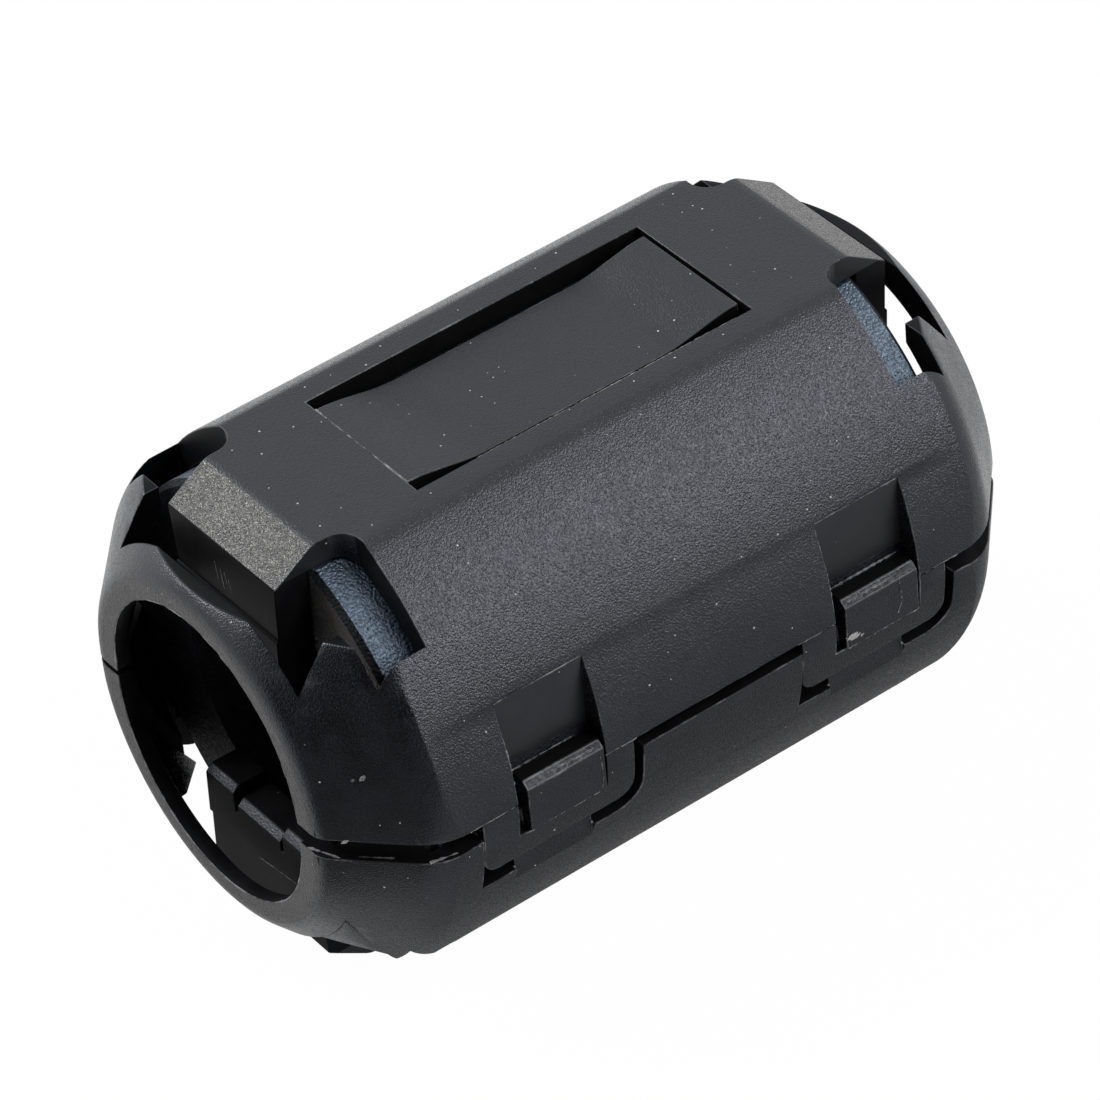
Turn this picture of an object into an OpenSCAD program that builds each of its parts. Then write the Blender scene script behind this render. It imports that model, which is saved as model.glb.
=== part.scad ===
// Clip-on ferrite clamp for a round cable: two moulded shells that hinge
// open like a clam, each with one half of a ferrite sleeve inside.
// Frame: X runs along the cable, Y from the latches (-) to the hinge (+),
// Z from the lower shell to the upper one. The bore's axis is X itself.
// The case is built outwards from the sleeve, so it follows its size.

/* [Ferrite] */
// Outer diameter of the ferrite sleeve
ferrite_d = 21.16; // [17.5:0.02:26]
// Diameter of its bore
bore_d = 13; // [10:0.1:14]
// Length of the sleeve
ferrite_len = 28.2; // [23:0.1:40]
// Depth of the flat ground on its top and on its bottom
flat_cut = 0.73; // [0.3:0.01:1]
// Chamfer on the sleeve's edges
ferrite_cham = 0.25; // [0.1:0.05:0.6]
// Half the gap between the two polished joint faces
joint_gap = 0.015; // [0:0.005:0.05]

/* [Case] */
// Thickness of the moulded wall over the sleeve's flat
wall = 1.1; // [0.9:0.05:1.4]
// Thickness of the wall beside the sleeve
side_wall = 1.09; // [1:0.01:1.4]
// Clearance between the sleeve's round and the wall
pocket_gap = 0.08; // [0.05:0.01:0.2]
// Clearance between the sleeve's flat and the wall
roof_gap = 0.2; // [0.05:0.05:0.5]
// Width of the flat on the top and on the bottom
flat_w = 10.04; // [8:0.1:12]
// Radius of the rounded sides
side_r = 13.4; // [12:0.1:18]
// Opening that the sleeve keeps between the two shells
seam = 0.86; // [0.4:0.02:1.2]
// How much wider the opening is at the coned ends
seam_end = 0.17; // [0:0.01:0.4]
// Height of the lip that narrows it between the latches
seam_lip = 0.27; // [0:0.01:0.3]

/* [Coned ends] */
// Thickness of the end plate
plate_t = 0.75; // [0.5:0.05:0.95]
// Width of the end face round the cable hole
face_rim = 1.35; // [1.2:0.05:2]
// Height of the end plate's level top over the cable hole
brow_t = 1.48; // [1:0.02:2]
// Length of that level top
brow_len = 1; // [0.95:0.05:1.5]
// How far each half hole is centred inside its own shell
hole_rise = 0.57; // [0.1:0.01:0.7]
// How far each half cone is centred inside its own shell
cone_rise = 0.25; // [0:0.01:0.5]
// Radius of the rounded shoulder
shoulder_r = 3; // [0.5:0.1:4]
// Radius of the rounding at the end face
face_r = 1.2; // [0.3:0.1:2]

/* [End walls] */
// Clearance between the sleeve's end and the wall that stops it
end_gap = 0.12; // [0.05:0.01:0.3]
// Thickness of that wall
stop_t = 1.63; // [1.2:0.01:2.4]
// Width of the slit between that wall and the end plate
slit_len = 1.05; // [0.6:0.05:1.6]
// Width of the upper wall across the case
tongue_w = 7.56; // [6:0.02:9]
// Width of the lower wall
tongue_low_w = 8.3; // [6:0.02:9]
// How much each side of the wall draws in for each millimetre inwards
draft = 0.07; // [0:0.01:0.12]
// How far the wall steps out towards the end plate near the cable
step_out = 0.12; // [0.05:0.01:0.25]
// Depth of that step below the case's flat
step_z = 4.1; // [3.4:0.1:4.6]
// Length of the slope above the wall
slope_len = 2.05; // [1:0.05:3]
// Fall of the slope for each millimetre towards the end
slope = 0.64; // [0.3:0.02:0.9]
// Radius where the slope leaves the flat
bend_r = 1.2; // [0.4:0.1:2]
// How far the grip teeth stand into the cable's way
grip_in = 2.1; // [0.5:0.05:3]
// How much further from the cable the middle tooth ends
grip_step = 0.5; // [0:0.05:1]
// Width of the middle tooth
grip_w = 3.3; // [2:0.1:5]
// Width of the slits between the teeth
slit_w = 0.22; // [0.1:0.02:0.5]
// Depth of those slits
slit_d = 1.3; // [0.6:0.1:2]
// Chamfer on the teeth towards the end plate
tooth_cham = 0.35; // [0.1:0.05:0.6]

/* [Corner cut-outs] */
// How far a corner cut-out reaches over the sleeve
cut_in = 2.02; // [1:0.02:3]
// Distance of its outer edge from the case's widest point
cut_side = 3; // [2.6:0.05:4]
// Radius of its inner corner
cut_r = 1; // [0.2:0.1:1.6]
// Length of the finger between its two notches
finger_len = 2.45; // [1:0.05:3]
// Length of the finger in the lower shell
finger_low_len = 1.15; // [1:0.05:3]
// Width of the finger along the case
finger_w = 2.2; // [1:0.05:2.5]

/* [Leaf spring] */
// Distance between the leaf's window and the corner cut-outs
leaf_in = 3.55; // [2:0.05:5]
// Width of the window
leaf_win_w = 7.74; // [6:0.02:8.6]
// Width of the slot on each side of the leaf
leaf_slot = 0.68; // [0.3:0.02:1]
// Gap at the leaf's free end
leaf_tip = 0.2; // [0.1:0.05:1]
// Thickness of the leaf
leaf_t = 0.7; // [0.5:0.05:0.9]
// Length of the bend at each end of the leaf
leaf_bend = 4; // [1.5:0.1:5]
// Clearance between the leaf and the sleeve's flat
leaf_gap = 0.02; // [0.01:0.01:0.1]

/* [Latches] */
// Distance of a latch's middle from the shoulder
latch_in = 5.92; // [5:0.02:7]
// Width of the latch tab
tab_w = 7.72; // [6:0.02:8.4]
// How far the tab hangs below the parting plane
tab_drop = 2.62; // [2:0.02:3.2]
// Radius of the tab's lower corners
tab_r = 0.85; // [0.3:0.05:1.5]
// Thickness of the tab
tab_t = 0.6; // [0.45:0.05:0.7]
// Width of the window in the tab
window_w = 4.5; // [4.1:0.1:5.5]
// How far the tab's outer side is set back from the case's
tab_set = 0.04; // [0.01:0.01:0.1]
// Height of the window's upper edge above the parting plane
window_z = 5.1; // [4:0.02:6]
// Height of the bar that closes the window
bar_h = 1.3; // [0.8:0.05:2]
// Clearance between the hook's top and the recessed wall inside the window
skin_gap = 0.1; // [0.05:0.05:1.5]
// Width of the hook
hook_w = 3.9; // [2.5:0.05:4]
// Height of the hook's front edge above the parting plane
hook_z = 0.88; // [0.3:0.02:1.2]
// Chamfer on the hook's nose
hook_lead = 0.32; // [0.1:0.02:0.4]
// Clearance of the latch parts from one another
latch_gap = 0.03; // [0.02:0.01:0.08]
// How far the lower latch parts sit along the case from the upper ones
latch_shift = 0.2; // [0:0.01:0.2]
// Depth of the notch for the tab below the parting plane
notch_drop = 3.42; // [3.3:0.02:4.4]
// Radius of the notch's corner
notch_r = 1.3; // [0.3:0.1:1.6]
// Width of the arm that carries the hook
arm_w = 4; // [3.4:0.1:4.4]
// How far the arm sits along the case from the window
arm_shift = 0.3; // [0:0.05:0.5]
// Depth of the pry recess in the arm
pry_t = 0.78; // [0.6:0.01:0.9]

/* [Hinge] */
// Width of a hinge strap
strap_w = 6; // [3:0.1:8]
// Thickness of a hinge strap
strap_t = 0.35; // [0.2:0.05:0.6]
// Radius of the closed strap's loop at mid thickness
strap_r = 0.8; // [0.7:0.05:1.4]
// Height of the thick root that carries a strap
root_h = 0.85; // [0.8:0.05:1.6]
// How far the root stands out of the side
root_out = 0.08; // [0.05:0.01:0.3]

/* [Hidden] */
$fn = 96;
eps = 0.01;
big = 60;
slope_steps = 5;

// Section: the walls lie round the sleeve
ferrite_z = ferrite_d / 2 - flat_cut;
pocket_r = ferrite_d / 2 + pocket_gap;
pocket_z = ferrite_z + roof_gap;
side_y = pocket_r + side_wall;
top_z = pocket_z + wall;

// Length: pocket, end wall, slit and end plate follow one another
pocket_x = ferrite_len / 2 + end_gap;
stop_x = pocket_x + stop_t;
brow_x = stop_x + slit_len;
end_x = brow_x + brow_len;
plate_x = end_x - plate_t;
bend_x = stop_x - slope_len;
slope_angle = atan(slope);
bend_len = bend_r * tan(slope_angle / 2);
skin_z = hook_z + hook_lead + skin_gap;
cut_x = pocket_x - cut_in;
cut_y = side_y - cut_side;
finger_x = brow_x - finger_w;
foot_x = stop_x + step_out;

// End plate and grip teeth: both take the cable that the bore takes
hole_r = bore_d / 2;
brow_z = hole_rise + hole_r + brow_t;
grip_z = bore_d / 2 - grip_in;

// Centre of the side's arc, from the edge of the flat to the parting plane
arc_dy = side_y - flat_w / 2;
arc_chord = norm([arc_dy, top_z]);
arc_lift = sqrt(side_r * side_r - arc_chord * arc_chord / 4);
arc_y = side_y - arc_dy / 2 - arc_lift * top_z / arc_chord;
arc_z = top_z / 2 - arc_lift * arc_dy / arc_chord;

// The cone falls from the shoulder, at the pocket's end, to the end face
cone_end_r = hole_r + face_rim;
cone_a = atan2(side_y - cone_end_r, end_x - pocket_x);
shoulder_x = pocket_x - shoulder_r * tan(cone_a / 2);
face_in = face_r * tan(45 - cone_a / 2);

// The leaf rests on the sleeve's flat, so its bow follows from both
leaf_sag = pocket_z + wall - ferrite_z - leaf_gap - leaf_t;
leaf_len = 2 * (cut_x - leaf_in);
leaf_root = -leaf_len / 2;
leaf_end = leaf_len / 2 - leaf_tip;

latch_x = pocket_x - latch_in;
lip_x = latch_x - latch_shift - tab_w / 2 - latch_gap;
root_y = side_y + root_out;

// Y of the case's outer side at a height z
function side_at(z) = arc_y + sqrt(side_r * side_r - pow(abs(z) - arc_z, 2));
// Radius of the cone's inner face at x
function hollow_at(x) = side_y - (x - pocket_x) * tan(cone_a) - wall / cos(cone_a);
// Eased step from 0 to 1
function ease(t) = t <= 0 ? 0 : t >= 1 ? 1 : t * t * (3 - 2 * t);
// How far the leaf's top lies below the flat at x
function bow(x) = leaf_sag * (ease((x - leaf_root) / leaf_bend) - ease((x - leaf_end + leaf_bend) / leaf_bend));

// Lays a drawing in Y and Z and extrudes it along X
module along_x(len) rotate([90, 0, 90]) linear_extrude(len, center = true) children();
module along_x_from(x0, x1) translate([x0, 0, 0]) rotate([90, 0, 90]) linear_extrude(x1 - x0) children();
// Lays a drawing in X and Z and extrudes it along Y, from y0 to y1
module along_y(y0, y1) translate([0, y1, 0]) rotate([90, 0, 0]) linear_extrude(y1 - y0) children();
// Turns a drawing of (radius, x) about X
module about_x() rotate([0, 90, 0]) rotate_extrude() children();
module both_ends() for (m = [0, 1]) mirror([m, 0, 0]) children();
module both_sides() for (m = [0, 1]) mirror([0, m, 0]) children();
module both_latches(shift = 0) for (s = [-1, 1]) translate([s * latch_x + shift, 0, 0]) children();

// Section of the closed case: two flats and four rounded sides
module side_arcs(set) intersection() {
    translate([arc_y, arc_z]) circle(r = side_r - set, $fn = 180);
    translate([-arc_y, arc_z]) circle(r = side_r - set, $fn = 180);
}
module section(set = 0) intersection() {
    side_arcs(set);
    mirror([0, 1]) side_arcs(set);
    square([big, 2 * top_z], center = true);
}

// Profile of one end: rounded shoulder, cone, rounding and end face
module cone_profile() {
    polygon([
        [0, 0],
        [big, 0],
        [big, shoulder_x],
        [side_y, shoulder_x],
        [side_y - shoulder_r * (1 - cos(cone_a)), shoulder_x + shoulder_r * sin(cone_a)],
        [cone_end_r - face_in + face_r * cos(cone_a), end_x - face_r * (1 - sin(cone_a))],
        [cone_end_r - face_in, end_x],
        [0, end_x]]);
    translate([side_y - shoulder_r, shoulder_x]) circle(r = shoulder_r);
    translate([cone_end_r - face_in, end_x - face_r]) circle(r = face_r);
}

module blank(level_x) difference() {
    intersection() {
        along_x(2 * end_x) section();
        translate([0, 0, cone_rise]) both_ends() about_x() cone_profile();
        translate([-big, -big, seam / 2]) cube([2 * big, 2 * big, big]);
    }
    both_ends() translate([level_x, -big, brow_z]) cube([big, 2 * big, big]);
}

// Room for the sleeve
module pocket() intersection() {
    rotate([0, 90, 0]) cylinder(r = pocket_r, h = 2 * pocket_x, center = true, $fn = 180);
    cube([big, big, 2 * pocket_z], center = true);
}

// Hollow between the pocket and each end plate
module end_hollows() translate([0, 0, cone_rise]) both_ends() about_x() polygon([
    [0, pocket_x - eps],
    [hollow_at(pocket_x), pocket_x - eps],
    [hollow_at(plate_x), plate_x],
    [0, plate_x]]);

// The wall that stops the sleeve, with the piece of the top that carries it
module tongue_plan(w) intersection() {
    section();
    polygon([
        [-w / 2, top_z],
        [-w / 2, pocket_z],
        [-w / 2 + draft * pocket_z, 0],
        [w / 2 - draft * pocket_z, 0],
        [w / 2, pocket_z],
        [w / 2, top_z]]);
}
// Clears the cone's inside from the wall's place
module tongue_room(w) both_ends() translate([pocket_x, -w / 2 - eps, 0]) cube([brow_x - pocket_x, w + 2 * eps, big]);
module tongue(w) both_ends() difference() {
    union() {
        along_x_from(cut_x, stop_x) tongue_plan(w);
        along_x_from(pocket_x, foot_x) intersection() {
            tongue_plan(w);
            square([big, 2 * (top_z - step_z)], center = true);
        }
    }
    pocket();
    translate([0, -big, -big]) cube([big, 2 * big, big + seam / 2]);
}

slope_turns = [for (i = [0:slope_steps]) slope_angle * i / slope_steps];
module slope_cut() both_ends() along_y(-big, big) polygon(concat(
    [for (a = slope_turns) [bend_x - bend_len + bend_r * sin(a), top_z - bend_r * (1 - cos(a))]],
    [[stop_x + eps, top_z - slope * (slope_len + eps)],
     [stop_x + eps, top_z + eps],
     [bend_x - bend_len, top_z + eps]]));

// Room below each end wall, which leaves the grip teeth on its lower edge
module grip_cut(w) both_ends() {
    along_x_from(cut_x, foot_x + eps) {
        translate([-w / 2 - eps, 0]) square([w + 2 * eps, grip_z]);
        translate([-grip_w / 2, 0]) square([grip_w, grip_z + grip_step]);
        for (s = [-1, 1]) translate([s * grip_w / 2 - slit_w / 2, 0]) square([slit_w, grip_z + slit_d]);
    }
    tooth_chamfer(w / 2 + eps, grip_z);
    tooth_chamfer(grip_w / 2, grip_z + grip_step);
}
module tooth_chamfer(y, z) along_y(-y, y) polygon([
    [foot_x - tooth_cham, z - eps],
    [foot_x - tooth_cham, z],
    [foot_x + eps, z + tooth_cham + eps],
    [foot_x + eps, z - eps]]);

module cable_holes() both_ends() translate([plate_x - eps, 0, hole_rise]) rotate([0, 90, 0])
    cylinder(r = hole_r, h = plate_t + 2 * eps);

// Plan of one corner cut-out: over the sleeve, beside the finger and behind
// the end plate
module corner_plan(w, len) {
    translate([cut_x, w / 2]) difference() {
        square([finger_x - cut_x, cut_y - w / 2]);
        difference() {
            translate([-eps, -eps]) square(cut_r);
            translate([cut_r, cut_r]) circle(r = cut_r);
        }
    }
    translate([finger_x - eps, w / 2]) square([finger_w + eps, cut_y - len - w / 2]);
    translate([stop_x, -eps]) square([slit_len, cut_y - len + eps]);
}
module corner_cuts(w, len) both_ends() both_sides() difference() {
    linear_extrude(big) corner_plan(w, len);
    translate([pocket_x, -w / 2, -eps]) cube([foot_x - pocket_x, w, top_z - step_z + eps]);
}

// The leaf's outline seen from the side, with its root in the case's top
leaf_x = [for (i = [0:$fn / 2]) leaf_root - wall + (leaf_end - leaf_root + wall) * i / ($fn / 2)];
module leaf() along_y(leaf_slot - leaf_win_w / 2, leaf_win_w / 2 - leaf_slot)
    polygon(concat(
        [for (x = leaf_x) [x, top_z - bow(x)]],
        [for (i = [len(leaf_x) - 1:-1:0]) [leaf_x[i], top_z - bow(leaf_x[i]) - leaf_t]]));

module leaf_window() translate([leaf_root, -leaf_win_w / 2, 0]) cube([leaf_len, leaf_win_w, big]);

module hinge_roots() both_latches() translate([-strap_w / 2, pocket_r + pocket_gap, seam / 2])
    cube([strap_w, root_y - pocket_r - pocket_gap, root_h]);

// One shell as it is before its latch parts, above the parting plane
module half_case(w, len, level_x) {
    difference() {
        union() {
            difference() {
                blank(level_x);
                pocket();
                end_hollows();
                tongue_room(w);
            }
            tongue(w);
        }
        slope_cut();
        grip_cut(w);
        cable_holes();
        corner_cuts(w, len);
        leaf_window();
    }
    leaf();
    hinge_roots();
}

// The tab's outline seen from the latch side
module tab_plan() union() {
    translate([-tab_w / 2, -tab_drop + tab_r]) square([tab_w, tab_drop + seam - tab_r]);
    translate([-tab_w / 2 + tab_r, -tab_drop]) square([tab_w - 2 * tab_r, tab_r + eps]);
    for (c = [-1, 1]) translate([c * (tab_w / 2 - tab_r), tab_r - tab_drop]) circle(r = tab_r);
}

module tabs() intersection() {
    both_latches(-latch_shift) along_y(-big, tab_t - side_y) tab_plan();
    along_x(2 * end_x) section(tab_set);
}

// Window through each tab: a flat recess that runs out on the rounded side
module tab_windows() both_latches() translate([-window_w / 2, 0, bar_h - tab_drop]) {
    translate([0, -big, 0]) cube([window_w, big - side_at(window_z), big]);
    translate([0, -big, 0]) cube([window_w, big, skin_z + tab_drop - bar_h]);
}

// Notch in the lower shell that takes the tab: open on each side of the arm,
// with the pry recess below it
module notch_plan() difference() {
    translate([-tab_w / 2 - latch_gap, -notch_drop])
        square([tab_w + 2 * latch_gap + 2 * latch_shift, big]);
    translate([tab_w / 2 + latch_gap + 2 * latch_shift - notch_r, notch_r - notch_drop]) difference() {
        translate([0, -notch_r - eps]) square(notch_r + eps);
        circle(r = notch_r);
    }
}
module arm_plan() translate([latch_shift - arm_shift - arm_w / 2, -big]) square([arm_w, 2 * big]);
module tab_notches() both_latches(-latch_shift) {
    along_y(-big, tab_t + latch_gap - side_y) notch_plan();
    along_y(-big, -pocket_r / 2) difference() {
        notch_plan();
        arm_plan();
    }
    translate([latch_shift - arm_shift - arm_w / 2, -big, -big])
        cube([arm_w, big - side_y + pry_t, big + bar_h - tab_drop - latch_gap]);
}

// Hook: an arm behind the tab and a nose that fills the window
module hooks() both_latches(latch_shift) along_x(hook_w) polygon([
    [-pocket_r, -seam],
    [-pocket_r, hook_z + hook_lead],
    [-side_y + latch_gap + hook_lead, hook_z + hook_lead],
    [-side_y + latch_gap, hook_z],
    [-side_y + latch_gap, bar_h - tab_drop + latch_gap],
    [-side_y + pry_t, bar_h - tab_drop + latch_gap],
    [-side_y + pry_t, -seam]]);

// Lip on the lower shell that narrows the opening between the latches
module lip() along_x(2 * lip_x) intersection() {
    difference() {
        section();
        circle(r = pocket_r, $fn = 180);
    }
    translate([-big, -seam / 2 - eps]) square([big, seam_lip + eps]);
}

// What the lower shell's edge lacks at the coned ends
module end_relief() both_ends() along_y(-big, big) polygon([
    [shoulder_x, eps - seam / 2],
    [shoulder_x, -seam / 2],
    [pocket_x, -seam / 2 - seam_end],
    [end_x + eps, -seam / 2 - seam_end],
    [end_x + eps, eps - seam / 2]]);

module upper_shell() color([0.13, 0.13, 0.14]) difference() {
    union() {
        half_case(tongue_w, finger_len, finger_x);
        tabs();
    }
    tab_windows();
}

module lower_shell() color([0.2, 0.2, 0.22]) {
    difference() {
        mirror([0, 0, 1]) half_case(tongue_low_w, finger_low_len, brow_x);
        tab_notches();
        end_relief();
    }
    hooks();
    lip();
}

// One half of the sleeve, above the parting plane
module half_sleeve() intersection() {
    about_x() polygon([
        [bore_d / 2, -ferrite_len / 2],
        [ferrite_d / 2 - ferrite_cham, -ferrite_len / 2],
        [ferrite_d / 2, -ferrite_len / 2 + ferrite_cham],
        [ferrite_d / 2, ferrite_len / 2 - ferrite_cham],
        [ferrite_d / 2 - ferrite_cham, ferrite_len / 2],
        [bore_d / 2, ferrite_len / 2]]);
    translate([-big, -big, joint_gap]) cube([2 * big, 2 * big, ferrite_z - joint_gap]);
}

module ferrite_upper() color([0.33, 0.36, 0.42]) half_sleeve();
module ferrite_lower() color([0.33, 0.36, 0.42]) mirror([0, 0, 1]) half_sleeve();

module hinge_strap() along_x(strap_w) translate([root_y, 0]) difference() {
    circle(r = strap_r + strap_t / 2);
    circle(r = strap_r - strap_t / 2);
    translate([-big, -big / 2]) square([big, big]);
}

module hinge_strap_left() color([0.25, 0.25, 0.27]) translate([-latch_x, 0, 0]) hinge_strap();
module hinge_strap_right() color([0.25, 0.25, 0.27]) translate([latch_x, 0, 0]) hinge_strap();

upper_shell();
lower_shell();
ferrite_upper();
ferrite_lower();
hinge_strap_left();
hinge_strap_right();
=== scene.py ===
"""Clip-on ferrite bead: moulded black clamp case round a split ferrite sleeve.

Metres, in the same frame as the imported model: X along the cable, Y from the
latches to the hinge straps, Z from the lower shell to the upper one.
"""
import math
import random

import bmesh
import bpy
from mathutils import Matrix, Vector


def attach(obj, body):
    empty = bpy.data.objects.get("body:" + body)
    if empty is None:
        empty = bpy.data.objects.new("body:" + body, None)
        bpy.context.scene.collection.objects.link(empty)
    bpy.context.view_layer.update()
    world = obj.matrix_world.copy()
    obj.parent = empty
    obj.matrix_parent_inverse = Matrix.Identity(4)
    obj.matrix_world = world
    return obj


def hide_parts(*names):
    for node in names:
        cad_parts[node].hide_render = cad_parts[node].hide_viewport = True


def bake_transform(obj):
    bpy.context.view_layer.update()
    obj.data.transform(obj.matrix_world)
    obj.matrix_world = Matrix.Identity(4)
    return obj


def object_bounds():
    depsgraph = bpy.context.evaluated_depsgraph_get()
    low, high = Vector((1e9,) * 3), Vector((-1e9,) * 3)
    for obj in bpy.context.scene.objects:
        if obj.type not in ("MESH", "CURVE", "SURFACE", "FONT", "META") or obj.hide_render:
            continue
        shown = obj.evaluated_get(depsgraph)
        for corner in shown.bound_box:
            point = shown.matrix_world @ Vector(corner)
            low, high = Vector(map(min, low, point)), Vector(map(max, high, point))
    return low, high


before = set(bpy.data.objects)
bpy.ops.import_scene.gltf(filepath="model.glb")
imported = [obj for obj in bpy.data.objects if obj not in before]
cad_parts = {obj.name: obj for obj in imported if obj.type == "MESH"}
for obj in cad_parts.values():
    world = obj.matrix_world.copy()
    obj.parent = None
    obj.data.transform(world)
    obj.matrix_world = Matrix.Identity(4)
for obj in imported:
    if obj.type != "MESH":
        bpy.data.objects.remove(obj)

cad_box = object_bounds()
MM = 0.001

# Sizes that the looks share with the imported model, in millimetres
END_X = 17.9  # outer face of an end plate
STOP_X = 15.85  # outer face of an end wall
FOOT_X = 15.97  # the same wall past its step
BEND_X = 13.45  # where the case turns into its coned ends
NOTCH_X = 12.2  # wall of a corner cut-out, square to the cable
WALL_Y = 3.78  # wall of a corner cut-out, along the cable
HOOK_TOP_Z = 1.2
HOLE_R = 6.5
HOLE_RISE = 0.57  # how far each half of the cable hole is shifted from the middle
SEAM_Z = 0.43  # upper edge of the seam in the coned ends
SEAM_END_Z = -0.6  # its lower edge
LEAF_Y = 3.19
SLOT_Y = 3.87
LEAF_ROOT_X = -8.65
TOP_Z = 11.15
WINDOW_Y = 10.54  # recessed wall behind a latch tab's window
ROOT_Y = 11.83  # outer face of the hinge straps' roots
STRAP_X = 8.3
STRAP_W = 6.0
STRAP_R = 0.8
STRAP_T = 0.35

# Sizes of the looks alone, in millimetres, and angles in degrees
MERGE_GAP = 0.016
FLAT_ANGLE = 0.8
EDGE_ROUND = 0.055
EDGE_ANGLE = 32
FINE_ROUND = 0.05
FINE_ANGLE = 40
SMOOTH_ANGLE = 34
UPPER_SEAM_SHIFT = 0.22
LOWER_SEAM_SHIFT = 0.54
WEB_X_IN, WEB_X_OUT = 15.05, 16.93
WEB_R_IN, WEB_R_OUT = 11.02, 9.06
WEB_SIDE_Y = 7.68
WEB_T = 0.9
RING_STEPS = 150
SLIVER_STEP = 0.13

# Least share of a normal along an axis for a face to count as square to that axis
SQUARE = 0.97

# The camera: azimuth, elevation and roll in degrees, and its place in its own axes in millimetres
CAMERA_TURN = (-33.604, 39.76, -5.875)
CAMERA_PLACE = (-0.045, 0.489, 266.718)
LENS_MM = 206.06
SENSOR_MM = 36


# ---------------------------------------------------------------- helpers

def deselect():
    """Leaves nothing selected, in object mode."""
    if bpy.context.object and bpy.context.object.mode != "OBJECT":
        bpy.ops.object.mode_set(mode="OBJECT")
    bpy.ops.object.select_all(action="DESELECT")


def pick(obj):
    """Makes obj the only selected object and the active one."""
    deselect()
    obj.select_set(True)
    bpy.context.view_layer.objects.active = obj
    return obj


def edit(obj):
    """Enters edit mode on obj with nothing selected in its mesh."""
    pick(obj)
    bpy.ops.object.mode_set(mode="EDIT")
    bpy.ops.mesh.select_all(action="DESELECT")


def select_verts(obj, wanted):
    """In edit mode: selects the vertices whose place passes the test."""
    mesh = bmesh.from_edit_mesh(obj.data)
    for vert in mesh.verts:
        vert.select = wanted(vert.co)
    bmesh.update_edit_mesh(obj.data)


def done_editing():
    """Goes back to object mode."""
    bpy.ops.object.mode_set(mode="OBJECT")


def settle(obj):
    """Puts the object's place, turn and size into its mesh."""
    pick(obj)
    bpy.ops.object.transform_apply(location=True, rotation=True, scale=True)
    return obj


def apply_modifier(obj, kind, **settings):
    """Adds a modifier with these settings and applies it."""
    pick(obj)
    mod = obj.modifiers.new(kind.lower(), kind)
    for key, value in settings.items():
        setattr(mod, key, value)
    bpy.ops.object.modifier_apply(modifier=mod.name)


def merged_copy(node, name):
    """A copy of a CAD node's mesh with its loose triangles joined up."""
    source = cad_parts[node]
    obj = bpy.data.objects.new(name, source.data.copy())
    bpy.context.scene.collection.objects.link(obj)
    obj.data.materials.clear()
    edit(obj)
    bpy.ops.mesh.customdata_custom_splitnormals_clear()
    bpy.ops.mesh.select_all(action="SELECT")
    bpy.ops.mesh.remove_doubles(threshold=MERGE_GAP * MM)
    bpy.ops.mesh.dissolve_limited(angle_limit=math.radians(FLAT_ANGLE))
    bpy.ops.mesh.normals_make_consistent(inside=False)
    done_editing()
    return obj


# ---------------------------------------------------------------- node trees

def node(tree, kind, inputs=None, **settings):
    """Adds a shader node; inputs may hold values or sockets to link."""
    made = tree.nodes.new("ShaderNode" + kind)
    for key, value in settings.items():
        setattr(made, key, value)
    for key, value in (inputs or {}).items():
        socket = made.inputs[key]
        if isinstance(value, bpy.types.NodeSocket):
            tree.links.new(value, socket)
        else:
            socket.default_value = value
    return made


def maths(tree, operation, a, b=0.0):
    """The result of a sum on two numbers or sockets."""
    return node(tree, "Math", {0: a, 1: b}, operation=operation).outputs[0]


def ramp(tree, value, low, high, to_low=0.0, to_high=1.0):
    """Smooth step of value from low to high."""
    return node(tree, "MapRange", {"Value": value, "From Min": low, "From Max": high,
                                   "To Min": to_low, "To Max": to_high},
                interpolation_type="SMOOTHSTEP").outputs[0]


def new_group(name, inputs, outputs):
    """An empty node group with float or vector inputs and float outputs."""
    tree = bpy.data.node_groups.new(name, "ShaderNodeTree")
    for label, default in inputs:
        kind = "NodeSocketVector" if default is None else "NodeSocketFloat"
        socket = tree.interface.new_socket(label, in_out="INPUT", socket_type=kind)
        if default is not None:
            socket.default_value = default
    for label in outputs:
        tree.interface.new_socket(label, in_out="OUTPUT", socket_type="NodeSocketFloat")
    start = tree.nodes.new("NodeGroupInput")
    end = tree.nodes.new("NodeGroupOutput")
    return tree, start.outputs, end.inputs


def spark_grain_group():
    """Rounded pits and bumps that spark erosion leaves in a mould."""
    tree, given, made = new_group("Spark grain", [("Place", None), ("Grain mm", 0.12), ("Blotch mm", 1.2)],
                                  ["Height", "Blotch"])
    scale = maths(tree, "DIVIDE", 1000.0, given["Grain mm"])
    fine = node(tree, "TexNoise", {"Vector": given["Place"], "Scale": scale, "Detail": 2.0,
                                   "Roughness": 0.55})
    cells = node(tree, "TexVoronoi", {"Vector": given["Place"], "Scale": scale, "Smoothness": 0.6},
                 feature="SMOOTH_F1")
    both = maths(tree, "ADD", maths(tree, "MULTIPLY", fine.outputs["Fac"], 0.8),
                 maths(tree, "MULTIPLY", cells.outputs["Distance"], 0.6))
    tree.links.new(both, made["Height"])
    blotch = node(tree, "TexNoise", {"Vector": given["Place"], "Detail": 3.0, "Roughness": 0.6,
                                     "Scale": maths(tree, "DIVIDE", 1000.0, given["Blotch mm"])})
    tree.links.new(ramp(tree, blotch.outputs["Fac"], 0.35, 0.65), made["Blotch"])
    return tree


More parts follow.
